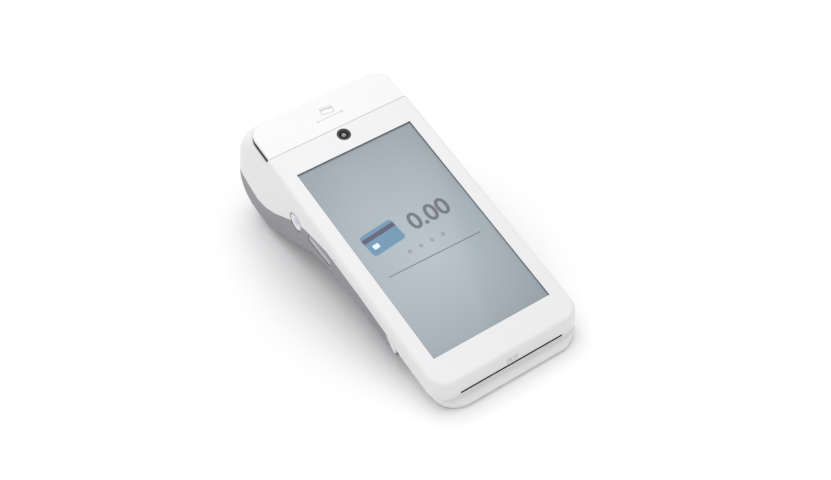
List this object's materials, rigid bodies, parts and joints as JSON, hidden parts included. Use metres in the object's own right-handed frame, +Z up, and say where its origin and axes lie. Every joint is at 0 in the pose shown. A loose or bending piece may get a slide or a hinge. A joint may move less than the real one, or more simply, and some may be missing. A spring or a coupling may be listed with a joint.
{
  "type": "card payment terminal",
  "caption": "Handheld card payment terminal with touch screen, chip slot, swipe slot and a receipt printer behind a hinged door.",
  "frame": {"origin": "on the ground, under the middle of the terminal's outer box, as it lies on its feet with the screen up", "axes": "+Z up, +Y towards the printer end, +X to the right of a person who reads the screen"},
  "size_m": [0.0785, 0.176, 0.0609],
  "materials": {
    "white_plastic": "satin moulded, fine grain",
    "grey_plastic": "satin moulded, fine grain",
    "black_plastic": "matt",
    "dark_grey_plastic": "satin",
    "screen_glass": "lit display behind glass",
    "lens_glass": "coated lens",
    "display": "display module",
    "aluminium": "brushed",
    "steel": "zinc plated",
    "gold": "gold plated",
    "circuit_board": "solder mask",
    "copper_foil": "etched foil",
    "rubber": "matt",
    "grey_rubber": "matt",
    "battery_wrap": "wrapped pack",
    "gear_plastic": "natural acetal",
    "ceramic": "glazed ceramic",
    "paper": "thermal paper",
    "card_board": "wound card"
  },
  "bodies": {
    "casing": {"front_housing": "white_plastic", "rear_housing": "white_plastic", "swipe_cover": "white_plastic", "swipe_guide": "dark_grey_plastic", "magnetic_head_bracket": "steel", "screen_gasket": "black_plastic", "touch_glass": "screen_glass", "display_panel": "display", "screen_tray": "aluminium", "front_camera": "black_plastic", "camera_ring": "black_plastic", "camera_window": "lens_glass", "main_board": "circuit_board", "board_screws": "steel", "shield_cans": "steel", "coin_cell": "steel", "sam_sockets": "black_plastic", "vibration_motor": "steel", "speaker": "black_plastic", "antenna_coil": "copper_foil", "paper_cradle": "dark_grey_plastic", "chip_card_reader": "black_plastic", "reader_contacts": "gold", "usb_socket": "steel", "microphone": "gold", "battery_pack": "battery_wrap", "battery_contacts": "gold", "dock_contact_pads": "gold", "dock_contact_carrier": "black_plastic", "slim_end_feet": "rubber", "housing_screws": "steel", "key_switches": "black_plastic", "side_cap_right": "white_plastic", "side_cap_left": "white_plastic", "door_hinge_pins": "steel", "printer_frame": "steel", "platen_bushings": "gear_plastic", "idler_axles": "steel", "stepper_motor": "steel", "head_pivot_rod": "steel", "head_springs": "steel", "tear_bar": "steel"},
    "printer_door": {"printer_door": "grey_plastic", "door_feet": "rubber"},
    "door_latch": {"door_latch": "dark_grey_plastic"},
    "battery_cover": {"battery_cover": "grey_plastic"},
    "port_flap": {"port_flap": "grey_rubber"},
    "power_button": {"power_button": "white_plastic"},
    "volume_key": {"volume_key": "white_plastic"},
    "magnetic_head": {"magnetic_head": "steel"},
    "print_head": {"print_head": "ceramic"},
    "platen": {"platen_shaft": "steel", "platen_rubber": "rubber", "platen_gear": "gear_plastic"},
    "small_idler": {"small_idler_gear": "gear_plastic"},
    "large_idler": {"large_idler_gear": "gear_plastic"},
    "motor_pinion": {"motor_pinion": "steel"},
    "paper_roll": {"paper_roll": "paper", "paper_core": "card_board"}
  },
  "joints": [
    {"name": "door_hinge", "type": "hinge", "parent": "casing", "child": "printer_door", "pos_m": [0, 0.08474, 0.03138], "axis": [1, 0, 0], "range_deg": [0, 95]},
    {"name": "door_latch_slide", "type": "slide", "parent": "printer_door", "child": "door_latch", "axis": [0, 0.9392, -0.3434], "range_m": [0, 0.0015], "stiffness_N_per_m": 400},
    {"name": "battery_cover_lift", "type": "slide", "parent": "casing", "child": "battery_cover", "axis": [0, -0.5795, -0.8149], "range_m": [0, 0.025]},
    {"name": "port_flap_hinge", "type": "hinge", "parent": "battery_cover", "child": "port_flap", "pos_m": [-0.03865, 0.0077, 0.02716], "axis": [0, -0.9848, -0.1739], "range_deg": [0, 100]},
    {"name": "power_button_press", "type": "slide", "parent": "casing", "child": "power_button", "axis": [-1, 0, 0], "range_m": [0, 0.0005], "stiffness_N_per_m": 1500},
    {"name": "volume_key_press", "type": "slide", "parent": "casing", "child": "volume_key", "axis": [-1, 0, 0], "range_m": [0, 0.0005], "stiffness_N_per_m": 1500},
    {"name": "magnetic_head_float", "type": "slide", "parent": "casing", "child": "magnetic_head", "axis": [0, 0.2926, -0.9562], "range_m": [0, 0.0005], "stiffness_N_per_m": 1500},
    {"name": "print_head_tilt", "type": "hinge", "parent": "casing", "child": "print_head", "pos_m": [0, 0.06335, 0.05035], "axis": [1, 0, 0], "range_deg": [0, 1.5], "stiffness_Nm_per_rad": 0.2},
    {"name": "paper_roll_spin", "type": "hinge", "parent": "casing", "child": "paper_roll", "pos_m": [0, 0.06378, 0.02434], "axis": [1, 0, 0], "continuous": true},
    {"name": "platen_spin", "type": "hinge", "parent": "casing", "child": "platen", "pos_m": [0, 0.07064, 0.04704], "axis": [1, 0, 0], "continuous": true},
    {"name": "small_idler_spin", "type": "hinge", "parent": "casing", "child": "small_idler", "pos_m": [0, 0.06215, 0.04748], "axis": [1, 0, 0], "continuous": true},
    {"name": "large_idler_spin", "type": "hinge", "parent": "casing", "child": "large_idler", "pos_m": [0, 0.05025, 0.03755], "axis": [1, 0, 0], "continuous": true},
    {"name": "motor_pinion_spin", "type": "hinge", "parent": "casing", "child": "motor_pinion", "pos_m": [0, 0.03652, 0.03482], "axis": [1, 0, 0], "continuous": true}
  ],
  "couplings": [
    {"joint": "platen_spin", "follows": "paper_roll_spin", "ratio": -4.75},
    {"joint": "small_idler_spin", "follows": "paper_roll_spin", "ratio": 5.3438},
    {"joint": "large_idler_spin", "follows": "paper_roll_spin", "ratio": -1.8587},
    {"joint": "motor_pinion_spin", "follows": "paper_roll_spin", "ratio": 8.55}
  ]
}
